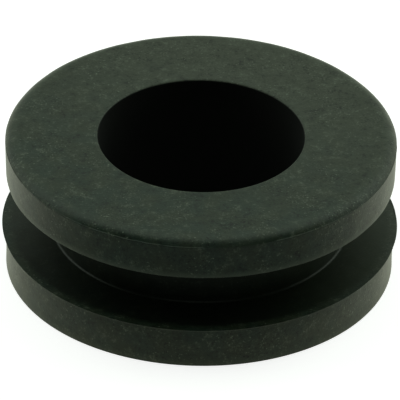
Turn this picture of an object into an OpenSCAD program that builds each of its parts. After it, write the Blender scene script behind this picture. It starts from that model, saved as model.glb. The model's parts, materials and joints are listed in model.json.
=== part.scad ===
// Open rubber grommet: one moulding with two flanges, a groove that grips a
// panel's edge and a plain hole for a cable. It stands on its lower flange.
// Lengths are in millimetres. The axis is Z, and the foot of the lower flange is at Z = 0.

/* [Cable hole] */
// Diameter of the through hole
bore_d = 14; // [10:0.5:17]
// Radius that breaks the hole's two edges
bore_edge_r = 0.15; // [0.05:0.05:0.4]

/* [Panel groove] */
// Diameter of the neck, which is the panel hole that the grommet fills
neck_d = 20; // [18:0.5:24]
// Width of the groove between the two flanges
groove_w = 4; // [1:0.25:8]
// Radius in the groove's two inner corners
groove_fillet_r = 0.15; // [0.05:0.05:0.4]

/* [Upper flange] */
// Diameter at the parting edge, its widest place
upper_flange_d = 26.6; // [26:0.1:34]
// Thickness of the upper flange
upper_flange_t = 3; // [2:0.25:6]
// Radius of the soft shoulder around the top face
shoulder_r = 1; // [0.8:0.1:2]
// Height of the shoulder, from the parting edge to the top face
shoulder_h = 0.5; // [0.2:0.1:0.6]
// How far the outer wall draws in between the parting edge and the groove
upper_draft = 0.08; // [0:0.02:0.3]
// Radius around the lower edge of the upper flange
roof_edge_r = 0.1; // [0.1:0.1:1]

/* [Lower flange] */
// Diameter of the outer wall, just under its lip
lower_flange_d = 26.4; // [26:0.1:34]
// Thickness of the lower flange
lower_flange_t = 3.1; // [2:0.1:6]
// How far the outer wall draws in between the lip and the foot
lower_draft = 0.08; // [0:0.02:0.3]
// How far the moulding lip at the parting line stands out from the wall
lip_proud = 0.25; // [0.05:0.05:0.5]
// Height of the lip where it leaves the wall
lip_root_h = 0.25; // [0.1:0.05:0.5]
// Height of the lip's outer edge
lip_edge_h = 0.08; // [0.02:0.02:0.1]
// Radius around the foot
foot_r = 0.1; // [0.1:0.1:1]

/* [Hidden] */
$fn = 180;

// How far a cut runs past the surface that it opens
cut_past = 0.5;

bore_r = bore_d / 2;
neck_r = neck_d / 2;
upper_r = upper_flange_d / 2;
lower_r = lower_flange_d / 2;

// Heights of the groove's floor and roof and of the top face
groove_floor_z = lower_flange_t;
groove_roof_z = groove_floor_z + groove_w;
top_z = groove_roof_z + upper_flange_t;

// The shoulder's arc is level where it meets the top face and stops short of
// upright at the parting edge. Its run is the width that it covers.
shoulder_run = sqrt(pow(shoulder_r, 2) - pow(shoulder_r - shoulder_h, 2));

// How much the upper flange's wall widens for each millimetre that it rises
upper_lean = upper_draft / (upper_flange_t - shoulder_h);

// The draft opens the corner under each flange's wall a little past square
roof_wall_r = upper_r - upper_draft;
roof_opening = 90 + atan(upper_lean);
foot_wall_r = lower_r - lower_draft;
foot_opening = 90 + atan(lower_draft / (lower_flange_t - lip_root_h));

// The sliver between a corner at the origin and the circle that touches both its sides:
// it rounds an outer corner when taken off, and fills an inner one when added. One side
// runs along +X and the other is turned from it by the opening angle.
module corner_sliver(r, opening = 90) {
    reach = r / tan(opening / 2);
    difference() {
        polygon([[0, 0], [reach, 0], [reach, r], reach * [cos(opening), sin(opening)]]);
        translate([reach, r])
            circle(r);
    }
}

// Right half of the neck's section, with the fillets that join it to both flanges
module neck_section() {
    translate([bore_r, 0])
        square([neck_r - bore_r, top_z]);
    translate([neck_r, groove_floor_z])
        corner_sliver(groove_fillet_r);
    translate([neck_r, groove_roof_z])
        mirror([0, 1])
            corner_sliver(groove_fillet_r);
}

// The upper flange: its drafted wall is drawn on past the parting edge up to the top, and
// the shoulder's arc then cuts it back, so that the two meet along the parting edge
module upper_flange_section() {
    difference() {
        polygon([
            [bore_r, groove_roof_z],
            [roof_wall_r, groove_roof_z],
            [upper_r + upper_lean * shoulder_h, top_z],
            [bore_r, top_z]
        ]);
        translate([upper_r - shoulder_run, top_z - shoulder_r])
            difference() {
                square(shoulder_r + cut_past);
                circle(shoulder_r);
            }
        translate([roof_wall_r, groove_roof_z])
            mirror([1, 0])
                corner_sliver(roof_edge_r, roof_opening);
    }
}

// The lower flange: a drafted wall on a rounded foot, and the lip along its upper edge
module lower_flange_section() {
    difference() {
        polygon([
            [bore_r, 0],
            [foot_wall_r, 0],
            [lower_r, groove_floor_z - lip_root_h],
            [lower_r + lip_proud, groove_floor_z - lip_edge_h],
            [lower_r + lip_proud, groove_floor_z],
            [bore_r, groove_floor_z]
        ]);
        translate([foot_wall_r, 0])
            mirror([1, 0])
                corner_sliver(foot_r, foot_opening);
    }
}

module grommet() {
    color("#3a4038")
        rotate_extrude()
            difference() {
                union() {
                    neck_section();
                    upper_flange_section();
                    lower_flange_section();
                }
                translate([bore_r, 0])
                    corner_sliver(bore_edge_r);
                translate([bore_r, top_z])
                    mirror([0, 1])
                        corner_sliver(bore_edge_r);
            }
}

grommet();
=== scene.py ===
import json
import math

import bmesh
import bpy
from mathutils import Matrix, Vector


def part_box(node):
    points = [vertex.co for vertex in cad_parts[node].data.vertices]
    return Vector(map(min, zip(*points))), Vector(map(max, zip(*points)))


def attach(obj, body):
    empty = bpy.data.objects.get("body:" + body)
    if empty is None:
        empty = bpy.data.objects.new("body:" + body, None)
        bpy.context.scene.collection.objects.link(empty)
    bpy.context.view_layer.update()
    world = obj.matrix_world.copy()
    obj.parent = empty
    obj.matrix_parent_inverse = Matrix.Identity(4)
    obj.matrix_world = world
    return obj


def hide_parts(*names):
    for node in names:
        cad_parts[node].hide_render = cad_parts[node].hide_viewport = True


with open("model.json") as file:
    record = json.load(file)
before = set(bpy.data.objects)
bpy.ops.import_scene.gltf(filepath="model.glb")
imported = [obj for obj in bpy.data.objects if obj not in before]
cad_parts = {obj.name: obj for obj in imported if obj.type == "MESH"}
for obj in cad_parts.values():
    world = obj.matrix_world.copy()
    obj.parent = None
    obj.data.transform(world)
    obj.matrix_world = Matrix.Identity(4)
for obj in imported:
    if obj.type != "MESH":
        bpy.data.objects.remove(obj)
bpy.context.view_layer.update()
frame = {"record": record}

MM = 0.001

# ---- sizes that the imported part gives
MOUNTS = {mount["name"]: mount for mount in frame["record"]["mounts"]}
LOWEST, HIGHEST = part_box("grommet")
TOP_Z = HIGHEST.z
LIP_R = (HIGHEST.x - LOWEST.x) / 2
BORE_R = MOUNTS["cable_hole"]["dims"]["r_mm"] * MM
NECK_R = MOUNTS["panel_groove"]["dims"]["r_mm"] * MM
GROOVE_W = MOUNTS["panel_groove"]["dims"]["length_mm"] * MM
FLOOR_Z = MOUNTS["panel_groove"]["pos_m"][2] - GROOVE_W / 2
ROOF_Z = FLOOR_Z + GROOVE_W

# ---- sizes of the moulding's own edges
LIP_PROUD = 0.25 * MM
LIP_ROOT_H = 0.25 * MM
LIP_EDGE_H = 0.08 * MM
LIP_EDGE_R = 0.03 * MM
LOWER_R = LIP_R - LIP_PROUD
LOWER_DRAFT = 0.08 * MM
FOOT_EDGE_R = 0.1 * MM
BORE_EDGE_R = 0.15 * MM
GROOVE_CORNER_R = 0.15 * MM
LIP_PAST_UPPER = 0.15 * MM
UPPER_R = LIP_R - LIP_PAST_UPPER
UPPER_DRAFT = 0.08 * MM
ROOF_EDGE_R = 0.1 * MM
SHOULDER_R = 1.0 * MM
SHOULDER_H = 0.5 * MM
PARTING_Z = TOP_Z - SHOULDER_H

# The fine crease where the mould's plates met, under the shoulder
CREASE_H = 0.06 * MM
CREASE_DEPTH = 0.01 * MM
CREASE_EDGE_R = 0.012 * MM

# Marks of the moulding in the skin: the size of each kind of wave, and how deep it goes
WAVES = {"shrinkage": (4.0 * MM, 0.05 * MM), "flow_marks": (1.2 * MM, 0.016 * MM)}

# How far from the flat foot and from the true hole those marks take to come up
MARKS_FADE = 1.0 * MM

# Nicks where flash tore off the shoulder's edge: degrees from the front to the right, how
# deep they are, and how far they reach
NICKS = [
    (-29, 0.03 * MM, 0.7 * MM),
    (-24, 0.05 * MM, 0.6 * MM),
    (-18, 0.06 * MM, 0.6 * MM),
    (-12, 0.04 * MM, 0.5 * MM),
    (4, 0.03 * MM, 0.5 * MM),
    (22, 0.03 * MM, 0.5 * MM),
]

# How fine the mesh is: faces round the axis, the height of its rows, faces in a rounded
# corner and in the shoulder, and how close two points are that are one
SPIN_STEPS = 360
ROW_SPACING = 0.2 * MM
CORNER_SEGMENTS = 6
SHOULDER_SEGMENTS = 12
WELD = 0.0005 * MM

# How near a corner's nominal place its point is found, and the angle from which an edge is
# shaded sharp
FIND_REACH = 0.01 * MM
CREASED_FROM = math.radians(35)


# ---- modelling helpers
def deselect_objects():
    """Leaves no object selected."""
    bpy.ops.object.select_all(action="DESELECT")


def edit(piece):
    """Opens a piece in edit mode with nothing selected."""
    deselect_objects()
    piece.select_set(True)
    bpy.context.view_layer.objects.active = piece
    bpy.ops.object.mode_set(mode="EDIT")
    bpy.ops.mesh.select_all(action="DESELECT")


def leave():
    """Goes back to object mode."""
    bpy.ops.object.mode_set(mode="OBJECT")


def pick(piece, kind, wanted):
    """Selects the "verts", "edges" or "faces" of an open piece that the test wants."""
    bpy.ops.mesh.select_mode(type={"verts": "VERT", "edges": "EDGE", "faces": "FACE"}[kind])
    bpy.ops.mesh.select_all(action="DESELECT")
    mesh = bmesh.from_edit_mesh(piece.data)
    for item in getattr(mesh, kind):
        if wanted(item):
            item.select_set(True)
    bmesh.update_edit_mesh(piece.data)


# ---- the grommet's section, drawn as a wire in the XZ plane
def start_wire(r, z):
    """A new piece that is one point, at this radius and height, open and selected."""
    deselect_objects()
    bpy.ops.mesh.primitive_plane_add(size=MM, location=(r, 0, z))
    piece = bpy.context.object
    bpy.ops.object.transform_apply(location=True, rotation=True, scale=True)
    edit(piece)
    bpy.ops.mesh.select_all(action="SELECT")
    bpy.ops.mesh.merge(type="CENTER")
    return piece


def draw_by(r, z):
    """Draws the wire on from its selected end, by this much out and up."""
    bpy.ops.mesh.extrude_region_move(TRANSFORM_OT_translate={"value": (r, 0, z)})


def draw_shoulder(centre_r, centre_z, turn):
    """Draws the wire on round a centre, turning from the side up and inwards."""
    bpy.ops.mesh.spin(
        steps=SHOULDER_SEGMENTS, angle=turn, center=(centre_r, 0, centre_z), axis=(0, 1, 0)
    )


def round_corner(piece, r, z, radius):
    """Rounds the wire's corner at this radius and height."""
    pick(piece, "verts", lambda v: max(abs(v.co.x - r), abs(v.co.z - z)) < FIND_REACH)
    bpy.ops.mesh.bevel(offset=radius, segments=CORNER_SEGMENTS, profile=0.5, affect="VERTICES")


def draw_section():
    """The closed outline of the right half of the grommet's section."""
    # The shoulder's run is the width that its arc covers
    run = math.sqrt(SHOULDER_R**2 - (SHOULDER_R - SHOULDER_H) ** 2)
    corners = [
        (BORE_R, 0, BORE_EDGE_R),
        (LOWER_R - LOWER_DRAFT, 0, FOOT_EDGE_R),
        (LOWER_R, FLOOR_Z - LIP_ROOT_H, LIP_EDGE_R),
        (LIP_R, FLOOR_Z - LIP_EDGE_H, LIP_EDGE_R),
        (LIP_R, FLOOR_Z, LIP_EDGE_R),
        (NECK_R, FLOOR_Z, GROOVE_CORNER_R),
        (NECK_R, ROOF_Z, GROOVE_CORNER_R),
        (UPPER_R - UPPER_DRAFT, ROOF_Z, ROOF_EDGE_R),
        (UPPER_R, PARTING_Z - CREASE_H, CREASE_EDGE_R),
        (UPPER_R - CREASE_DEPTH, PARTING_Z - CREASE_H / 2, CREASE_EDGE_R),
        (UPPER_R, PARTING_Z, CREASE_EDGE_R),
    ]
    piece = start_wire(BORE_R, 0)
    for (from_r, from_z, _), (to_r, to_z, _) in zip(corners, corners[1:]):
        draw_by(to_r - from_r, to_z - from_z)
    draw_shoulder(UPPER_R - run, TOP_Z - SHOULDER_R, math.asin(run / SHOULDER_R))
    draw_by(BORE_R - (UPPER_R - run), 0)
    draw_by(0, -TOP_Z)
    bpy.ops.mesh.select_all(action="SELECT")
    bpy.ops.mesh.remove_doubles(threshold=WELD)
    for r, z, radius in corners + [(BORE_R, TOP_Z, BORE_EDGE_R)]:
        round_corner(piece, r, z, radius)
    return piece


def add_rows(piece):
    """Cuts each long side of the outline into short ones, for the rows of faces to come."""
    mesh = bmesh.from_edit_mesh(piece.data)
    lengths = [edge.calc_length() for edge in mesh.edges]
    for length in sorted({round(each, 6) for each in lengths if each > ROW_SPACING}):
        pick(piece, "edges", lambda edge: round(edge.calc_length(), 6) == length)
        bpy.ops.mesh.subdivide(number_cuts=math.ceil(length / ROW_SPACING) - 1)


def spin_round(piece):
    """Spins the outline about the axis into one closed skin, and smooths its shading."""
    bpy.ops.mesh.select_all(action="SELECT")
    bpy.ops.mesh.spin(steps=SPIN_STEPS, angle=math.tau, center=(0, 0, 0), axis=(0, 0, 1))
    bpy.ops.mesh.select_all(action="SELECT")
    bpy.ops.mesh.remove_doubles(threshold=WELD)
    bpy.ops.mesh.normals_make_consistent(inside=False)
    leave()
    bpy.ops.object.shade_smooth_by_angle(angle=CREASED_FROM)


def ripple_skin(piece):
    """Gives the skin its slight waves, which only go inwards. The foot stays flat and the hole
    stays round."""
    skin = piece.vertex_groups.new(name="waved_skin")
    for vertex in piece.data.vertices:
        away = min(vertex.co.z, vertex.co.xy.length - BORE_R, MARKS_FADE)
        skin.add([vertex.index], max(away / MARKS_FADE, 0.0), "REPLACE")
    for name, (size, depth) in WAVES.items():
        texture = bpy.data.textures.new(name, "CLOUDS")
        texture.noise_scale = size
        wave = piece.modifiers.new(name, "DISPLACE")
        wave.texture = texture
        wave.vertex_group = skin.name
        wave.strength = depth
        wave.mid_level = 1.0
        bpy.ops.object.modifier_apply(modifier=name)
    piece.vertex_groups.clear()


def nick_edge(piece):
    """Presses small nicks into the lower edge of the shoulder."""
    edit(piece)
    bpy.ops.mesh.select_mode(type="VERT")
    for degrees, depth, reach in NICKS:
        turn = math.radians(degrees)
        outwards = Vector((math.sin(turn), -math.cos(turn), 0))
        place = outwards * UPPER_R + Vector((0, 0, PARTING_Z))
        mesh = bmesh.from_edit_mesh(piece.data)
        nearest = min(mesh.verts, key=lambda v: (v.co - place).length_squared)
        bpy.ops.mesh.select_all(action="DESELECT")
        nearest.select_set(True)
        bmesh.update_edit_mesh(piece.data)
        bpy.ops.transform.translate(
            value=-depth * outwards,
            use_proportional_edit=True,
            proportional_edit_falloff="SMOOTH",
            proportional_size=reach,
        )
    leave()


def make_grommet():
    """The grommet as one moulding, with the marks that its mould left on it."""
    piece = draw_section()
    add_rows(piece)
    spin_round(piece)
    ripple_skin(piece)
    nick_edge(piece)
    piece.name = "moulded_grommet"
    piece.data.name = "moulded_grommet"
    return piece


# ---- materials
def linear(hex_colour):
    """The linear RGBA colour that a hex sRGB colour stands for."""
    channels = [int(hex_colour[i : i + 2], 16) / 255 for i in (1, 3, 5)]
    bent = [c / 12.92 if c <= 0.04045 else ((c + 0.055) / 1.055) ** 2.4 for c in channels]
    return (*bent, 1.0)


def per_metre(size):
    """The scale that gives a pattern features of this size."""
    return 1 / size


def add_node(tree, kind, settings=None, links=None):
    """Adds a node, then sets its properties and input values and links sockets to its inputs."""
    made = tree.nodes.new(kind)
    for name, value in (settings or {}).items():
        if isinstance(name, str) and hasattr(made, name):
            setattr(made, name, value)
        else:
            made.inputs[name].default_value = value
    for name, socket in (links or {}).items():
        tree.links.new(socket, made.inputs[name])
    return made


def new_material(name):
    """An empty node material and its tree."""
    material = bpy.data.materials.new(name)
    material.use_nodes = True
    material.node_tree.nodes.clear()
    return material, material.node_tree


# The rubber's colours: its two slight hues, the pits and bloom that stain or cover them, and the
# painted light, shade and highlights laid on them
BLUER_GREEN = "#223027"
BROWNER_GREEN = "#273023"
PAINTED_BACK_LIGHT = "#3c4135"
PIT = "#060a06"
BLOOM_AND_HIGHLIGHT = "#5f665a"
RECESS_PAINTED_LIGHT = "#26301f"
RECESS_PAINTED_SHADE = "#060a06"
HOLE_PAINTED_SHADE = "#020302"

# The patterns in the skin, by the size of their features, and the depth of its roughness.
# Real bloom and blasting are finer than the grain here, which is coarse enough to be seen.
HUE_PATCH = 1.6 * MM
CLOUD = 0.8 * MM
WORN_PATCH = 2.4 * MM
GRAIN = 0.14 * MM
RELIEF_DEPTH = 0.02 * MM

# How much contrast the patches of hue and of wear have: the values between which they change
HUE_CHANGE = (0.35, 0.65)
WORN_CHANGE = (0.3, 0.7)

# The skin's tone between bloom and pits: its middle, and where each is full
TONE_MIDDLE = 0.5
TONE_PIT = 0.2
TONE_BLOOM = 0.9

# Most of the grain lies near its middle value. Its cube, made this much stronger, leaves only
# the strongest grains to be seen. Even the least worn patches keep some of them.
GRAIN_STRENGTH = 16.0
LEAST_WORN = 0.5

# Painted light: the rubber is painted lighter from the front to the back, and this much as fast to
# the right. These are the ends of that painted light outside, and of the painted shade in the
# groove, which is darkest at the front.
PAINTED_LIGHT_TO_THE_RIGHT = 0.4
PAINTED_LIGHT_NONE_AT = -15.0 * MM
PAINTED_LIGHT_FULL_AT = 15.0 * MM
RECESS_SHADE_FULL_AT = -14.0 * MM
RECESS_SHADE_NONE_AT = 6.0 * MM

# Where the outer skin begins and where it is full: out to the flanges' rims, and up the upper
# flange. Deep in the groove there is only this much of its colour and relief, and the rest of the
# colour there is painted shade.
RIM_FROM_R = LIP_R - 1.1 * MM
RIM_FULL_R = LIP_R - 0.2 * MM
UPPER_FROM_Z = ROOF_Z + 1 * MM
UPPER_FULL_Z = PARTING_Z
SKIN_IN_RECESS = 0.25

# Where the hole's painted black shade begins, and where it is full. The hole is duller from here
# too.
HOLE_FROM_R = BORE_R + 0.05 * MM
HOLE_FULL_R = BORE_R + 0.01 * MM

# Painted highlight along the upper flange's lower edge: the share of pale colour that it lays on,
# the heights on the wall where it ends and is full, and the heights just below the edge and the
# radii under the flange between which it comes up
ROOF_HIGHLIGHT = 0.35
ROOF_HIGHLIGHT_TOP_Z = ROOF_Z + 0.6 * MM
ROOF_HIGHLIGHT_FULL_Z = ROOF_Z + 0.1 * MM
ROOF_HIGHLIGHT_FROM_Z = (ROOF_Z - 0.3 * MM, ROOF_Z - 0.1 * MM)
ROOF_HIGHLIGHT_FROM_R = (NECK_R + 1 * MM, UPPER_R - 0.5 * MM)

# The same painted highlight on the foot's edge: its share, and where it ends and is full
FOOT_HIGHLIGHT = 0.15
FOOT_HIGHLIGHT_TOP_Z = 0.7 * MM
FOOT_HIGHLIGHT_FULL_Z = 0.1 * MM

# The same painted highlight round the top face: its share, and where it begins and is full,
# outwards and upwards
TOP_HIGHLIGHT = 0.12
TOP_HIGHLIGHT_R = (UPPER_R - 1.2 * MM, UPPER_R - 0.7 * MM)
TOP_HIGHLIGHT_Z = (TOP_Z - 0.25 * MM, TOP_Z)

# How rough the skin is, how much duller the hole is, and how the rubber shines: a bloomed
# skin shines less than clean rubber
SKIN_ROUGHNESS = 0.42
HOLE_DULLER_BY = 0.4
RUBBER_IOR = 1.5
RUBBER_SPECULAR = 0.3


def ramp(tree, value, none_at, full_at):
    """A soft step from 0, where the value is at the first of two, to 1 at the second. Either
    may be the higher one."""
    return add_node(
        tree,
        "ShaderNodeMapRange",
        {"From Min": none_at, "From Max": full_at, "interpolation_type": "SMOOTHSTEP"},
        {"Value": value},
    ).outputs["Result"]


def maths(tree, operation, first, second):
    """The result of one sum: a socket with another socket or a constant."""
    settings = {"operation": operation}
    links = {0: first}
    (settings if isinstance(second, float) else links)[1] = second
    return add_node(tree, "ShaderNodeMath", settings, links).outputs["Value"]


def blend(tree, share, under, over):
    """One colour socket or constant over another, by a share."""
    settings = {"data_type": "RGBA"}
    links = {0: share}
    for slot, colour in ((6, under), (7, over)):
        (settings if isinstance(colour, tuple) else links)[slot] = colour
    return add_node(tree, "ShaderNodeMix", settings, links).outputs[2]


def noise(tree, place, size, detail=0.0, roughness=0.5):
    """A cloudy pattern with features of this size, and finer ones on them."""
    settings = {"Scale": per_metre(size), "Detail": detail, "Roughness": roughness}
    return add_node(tree, "ShaderNodeTexNoise", settings, {"Vector": place}).outputs["Fac"]


def skin_tone(tree, place):
    """Pale above its middle and dark below it: soft clouds, and sharp grains in worn patches."""
    cloud = noise(tree, place, CLOUD, 3.0, 0.9)
    worn = ramp(tree, noise(tree, place, WORN_PATCH), *WORN_CHANGE)
    grain = maths(tree, "SUBTRACT", noise(tree, place, GRAIN, 1.0), TONE_MIDDLE)
    sharp = maths(tree, "MULTIPLY", maths(tree, "POWER", grain, 3.0), GRAIN_STRENGTH)
    patchy = maths(tree, "MULTIPLY", sharp, maths(tree, "ADD", worn, LEAST_WORN))
    return maths(tree, "ADD", cloud, patchy)


def painted_edge_highlights(tree, r, z):
    """The share of painted highlight along the lower edges of both flanges and round the top face.
    """
    upper = maths(tree, "MULTIPLY", ramp(tree, z, ROOF_HIGHLIGHT_TOP_Z, ROOF_HIGHLIGHT_FULL_Z), ROOF_HIGHLIGHT)
    upper = maths(tree, "MULTIPLY", upper, ramp(tree, z, *ROOF_HIGHLIGHT_FROM_Z))
    upper = maths(tree, "MULTIPLY", upper, ramp(tree, r, *ROOF_HIGHLIGHT_FROM_R))
    lower = maths(tree, "MULTIPLY", ramp(tree, z, FOOT_HIGHLIGHT_TOP_Z, FOOT_HIGHLIGHT_FULL_Z), FOOT_HIGHLIGHT)
    top = maths(tree, "MULTIPLY", ramp(tree, r, *TOP_HIGHLIGHT_R), ramp(tree, z, *TOP_HIGHLIGHT_Z))
    top = maths(tree, "MULTIPLY", top, TOP_HIGHLIGHT)
    return maths(tree, "ADD", maths(tree, "ADD", upper, lower), top)


def moulded_epdm_rubber():
    """EPDM rubber, compression moulded in a fine-blasted steel mould. Its skin is a dull dark
    green, clouded and speckled with pale bloom and fine pits. The back and the right are
    painted slightly lighter as painted light, and pale painted highlights run along the flanges'
    lower edges and round the top face. The rubber deep in the groove has less bloom and is
    painted dark as shade, nearly black at the front. The hole, where the mould's core was rough,
    is dull, and is painted black as shade."""
    material, tree = new_material("moulded_epdm_rubber")
    place = add_node(tree, "ShaderNodeTexCoord").outputs["Object"]
    axes = add_node(tree, "ShaderNodeSeparateXYZ", None, {0: place}).outputs
    flat = add_node(tree, "ShaderNodeCombineXYZ", None, {0: axes["X"], 1: axes["Y"]}).outputs[0]
    r = add_node(tree, "ShaderNodeVectorMath", {"operation": "LENGTH"}, {0: flat}).outputs["Value"]

    # Where it is: on the outer skin rather than deep in the groove, in the hole, or towards the
    # back and right, which are painted lighter
    rim = ramp(tree, r, RIM_FROM_R, RIM_FULL_R)
    upper = ramp(tree, axes["Z"], UPPER_FROM_Z, UPPER_FULL_Z)
    outside = maths(tree, "MAXIMUM", maths(tree, "MAXIMUM", rim, upper), SKIN_IN_RECESS)
    hole = ramp(tree, r, HOLE_FROM_R, HOLE_FULL_R)
    to_the_right = maths(tree, "MULTIPLY", axes["X"], PAINTED_LIGHT_TO_THE_RIGHT)
    across = maths(tree, "ADD", axes["Y"], to_the_right)
    # Painted light, growing towards the back and right
    painted_light = ramp(tree, across, PAINTED_LIGHT_NONE_AT, PAINTED_LIGHT_FULL_AT)
    # Painted shade deep in the groove, darkest at the front
    recess_shade = ramp(tree, across, RECESS_SHADE_NONE_AT, RECESS_SHADE_FULL_AT)

    # The outer skin, from its slight hues up to the bloom on it, painted lighter towards the back
    # and right, with painted highlights along its edges
    hue = ramp(tree, noise(tree, place, HUE_PATCH, 1.0), *HUE_CHANGE)
    tone = skin_tone(tree, place)
    skin = blend(tree, hue, linear(BLUER_GREEN), linear(BROWNER_GREEN))
    skin = blend(tree, painted_light, skin, linear(PAINTED_BACK_LIGHT))
    skin = blend(tree, ramp(tree, tone, TONE_MIDDLE, TONE_PIT), skin, linear(PIT))
    skin = blend(tree, ramp(tree, tone, TONE_MIDDLE, TONE_BLOOM), skin, linear(BLOOM_AND_HIGHLIGHT))
    # Painted highlights along the flanges' lower edges and round the top face
    skin = blend(tree, painted_edge_highlights(tree, r, axes["Z"]), skin, linear(BLOOM_AND_HIGHLIGHT))

    # The groove is painted dark as shade: nearly black at the front, lighter towards the back
    shaded_recess = blend(tree, recess_shade, linear(RECESS_PAINTED_LIGHT), linear(RECESS_PAINTED_SHADE))
    colour = blend(tree, outside, shaded_recess, skin)
    # The hole is painted black as shade
    colour = blend(tree, hole, colour, linear(HOLE_PAINTED_SHADE))
    height = {"Height": maths(tree, "MULTIPLY", tone, outside)}
    uneven = add_node(tree, "ShaderNodeBump", {"Strength": 1.0, "Distance": RELIEF_DEPTH}, height)
    dull = maths(tree, "ADD", maths(tree, "MULTIPLY", hole, HOLE_DULLER_BY), SKIN_ROUGHNESS)
    surface = add_node(
        tree,
        "ShaderNodeBsdfPrincipled",
        {"IOR": RUBBER_IOR, "Specular IOR Level": RUBBER_SPECULAR},
        {"Base Color": colour, "Roughness": dull, "Normal": uneven.outputs["Normal"]},
    )
    add_node(tree, "ShaderNodeOutputMaterial", None, {"Surface": surface.outputs["BSDF"]})
    return material


# The light from under the table grows from its front edge to its back one, and there is a
# weak ring of it around the foot. A card under the grommet keeps it out of the hole.
GLOW_COLOUR = "#fbffe6"
GLOW_FRONT_Y = -20.0 * MM
GLOW_BACK_Y = 10.0 * MM
GLOW_LEVEL = 0.8
RING_INNER_R = 14.0 * MM
RING_OUTER_R = 18.0 * MM
RING_LEVEL = 0.28
CARD_R = 12.0 * MM
CARD_EDGE = 1 * MM

# The table's own colour, and how white it glows to the eye, where 1 is white. The lamps on it
# add the rest, and leave the grommet a faint shadow.
TABLE_COLOUR = "#c8c8c8"
TABLE_WHITE = 0.82


def lit_table():
    """A matt white acrylic table, softly lit from below and white to the eye."""
    material, tree = new_material("white_acrylic_table")
    place = add_node(tree, "ShaderNodeTexCoord").outputs["Object"]
    axes = add_node(tree, "ShaderNodeSeparateXYZ", None, {0: place}).outputs
    reach = add_node(tree, "ShaderNodeVectorMath", {"operation": "LENGTH"}, {0: place})
    r = reach.outputs["Value"]
    behind = maths(tree, "MULTIPLY", ramp(tree, axes["Y"], GLOW_FRONT_Y, GLOW_BACK_Y), GLOW_LEVEL)
    ring = maths(tree, "MULTIPLY", ramp(tree, r, RING_OUTER_R, RING_INNER_R), RING_LEVEL)
    glow = maths(tree, "ADD", behind, ring)
    glow = maths(tree, "MULTIPLY", glow, ramp(tree, r, CARD_R, CARD_R + CARD_EDGE))
    seen = add_node(tree, "ShaderNodeLightPath").outputs["Is Camera Ray"]
    white = {"data_type": "FLOAT", 3: TABLE_WHITE}
    strength = add_node(tree, "ShaderNodeMix", white, {0: seen, 2: glow}).outputs[0]
    tint = blend(tree, seen, linear(GLOW_COLOUR), linear("#ffffff"))
    links = {"Strength": strength, "Color": tint}
    lit = add_node(tree, "ShaderNodeEmission", None, links).outputs["Emission"]
    matt = add_node(tree, "ShaderNodeBsdfDiffuse", {"Color": linear(TABLE_COLOUR)}).outputs["BSDF"]
    both = add_node(tree, "ShaderNodeAddShader", None, {0: matt, 1: lit}).outputs["Shader"]
    add_node(tree, "ShaderNodeOutputMaterial", None, {"Surface": both})
    return material


# ---- the studio
# The lamps: each one's bearing in degrees from the front to the right, its rise in degrees, its
# width and height, and its power in watts
SOFTBOXES = {
    "right_softbox": (118, 36, 195 * MM, 215 * MM, 0.117),
    "left_softbox": (-110, 36, 195 * MM, 215 * MM, 0.11),
    "overhead_softbox": (180, 83, 260 * MM, 260 * MM, 0.116),
    "front_fill": (0, 35, 160 * MM, 160 * MM, 0.024),
}
SOFTBOX_DISTANCE = 240 * MM

# The slight green cast of the lamps and of the room
LAMP_COLOUR = "#eeffee"

# How bright the room is behind, and the directions between which it darkens to the front.
# 1 is straight back and 0 is overhead or to the side.
ROOM_LEVEL = 0.5
ROOM_DARK_Y = -0.3
ROOM_BRIGHT_Y = 0.3

# Wide enough to run out of sight
FLOOR_WIDTH = 4.0


def softbox(name, degrees_round, degrees_up, width, height, power):
    """A soft light on the grommet from this bearing and this rise, and hidden from the eye."""
    data = bpy.data.lights.new(name, "AREA")
    data.shape = "RECTANGLE"
    data.size = width
    data.size_y = height
    data.energy = power
    data.color = linear(LAMP_COLOUR)[:3]
    lamp = bpy.data.objects.new(name, data)
    bpy.context.scene.collection.objects.link(lamp)
    bearing = math.radians(degrees_round)
    rise = math.radians(degrees_up)
    towards = Vector(
        (math.sin(bearing) * math.cos(rise), -math.cos(bearing) * math.cos(rise), math.sin(rise))
    )
    lamp.location = Vector((0, 0, TOP_Z / 2)) + towards * SOFTBOX_DISTANCE
    lamp.rotation_euler = towards.to_track_quat("Z", "Y").to_euler()
    lamp.visible_camera = False


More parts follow.
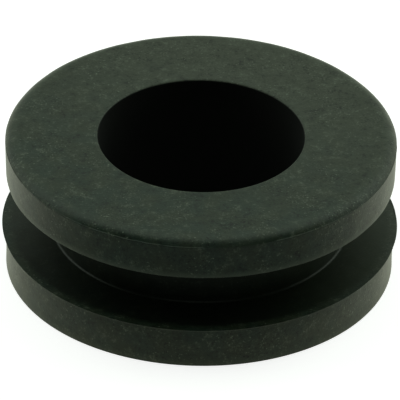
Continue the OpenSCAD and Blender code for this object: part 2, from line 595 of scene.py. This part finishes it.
def studio_room():
    """A room that is bright behind, dark in front, and white to the eye."""
    world = bpy.data.worlds.new("studio_room")
    world.use_nodes = True
    world.node_tree.nodes.clear()
    tree = world.node_tree
    ray = add_node(tree, "ShaderNodeTexCoord").outputs["Generated"]
    axes = add_node(tree, "ShaderNodeSeparateXYZ", None, {0: ray}).outputs
    brighter = ramp(tree, axes["Y"], ROOM_DARK_Y, ROOM_BRIGHT_Y)
    level = maths(tree, "MULTIPLY", brighter, ROOM_LEVEL)
    tint = {"Color": linear(LAMP_COLOUR)}
    room = add_node(tree, "ShaderNodeBackground", tint, {"Strength": level})
    white = add_node(tree, "ShaderNodeBackground", {"Color": linear("#ffffff"), "Strength": 1.0})
    seen = add_node(tree, "ShaderNodeLightPath").outputs["Is Camera Ray"]
    shaders = {0: seen, 1: room.outputs["Background"], 2: white.outputs["Background"]}
    surface = add_node(tree, "ShaderNodeMixShader", None, shaders).outputs["Shader"]
    add_node(tree, "ShaderNodeOutputWorld", None, {"Surface": surface})
    bpy.context.scene.world = world


def light_studio():
    """A large softbox to each side and one overhead, all a little behind, and a weak one in
    front to fill the shade, in the studio room."""
    for name, setting in SOFTBOXES.items():
        softbox(name, *setting)
    studio_room()


def lay_floor():
    """A plain pale floor under the grommet."""
    deselect_objects()
    bpy.ops.mesh.primitive_plane_add(size=FLOOR_WIDTH)
    floor = bpy.context.object
    floor.name = "studio_floor"
    floor.data.materials.append(lit_table())


# ---- the camera: its lens and sensor are in millimetres, and the rest is in metres
CAMERA_DISTANCE = 1064 * MM
CAMERA_PITCH = math.radians(32.8)
CAMERA_ROLL = math.radians(1.042)
CAMERA_AIM_Z = 4.89 * MM
CAMERA_LENS = 1410.4
CAMERA_SENSOR = 36
CAMERA_SEES_TO = 100


def place_camera():
    """A long lens from well back, looking down at the grommet and rolled slightly."""
    data = bpy.data.cameras.new("camera")
    data.lens = CAMERA_LENS
    data.sensor_width = CAMERA_SENSOR
    data.clip_end = CAMERA_SEES_TO
    camera = bpy.data.objects.new("camera", data)
    bpy.context.scene.collection.objects.link(camera)
    ahead = Vector((0, math.cos(CAMERA_PITCH), -math.sin(CAMERA_PITCH)))
    level = Vector((1, 0, 0))
    upright = level.cross(ahead)
    right = math.cos(CAMERA_ROLL) * level + math.sin(CAMERA_ROLL) * upright
    up = -math.sin(CAMERA_ROLL) * level + math.cos(CAMERA_ROLL) * upright
    turn = Matrix((right, up, -ahead)).transposed()
    camera.matrix_world = Matrix.LocRotScale(
        Vector((0, 0, CAMERA_AIM_Z)) - ahead * CAMERA_DISTANCE, turn.to_quaternion(), None
    )
    bpy.context.scene.camera = camera


grommet = make_grommet()
grommet.data.materials.append(moulded_epdm_rubber())
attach(grommet, "root")
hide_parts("grommet")

lay_floor()
light_studio()
place_camera()
bpy.context.scene.view_settings.view_transform = "Standard"
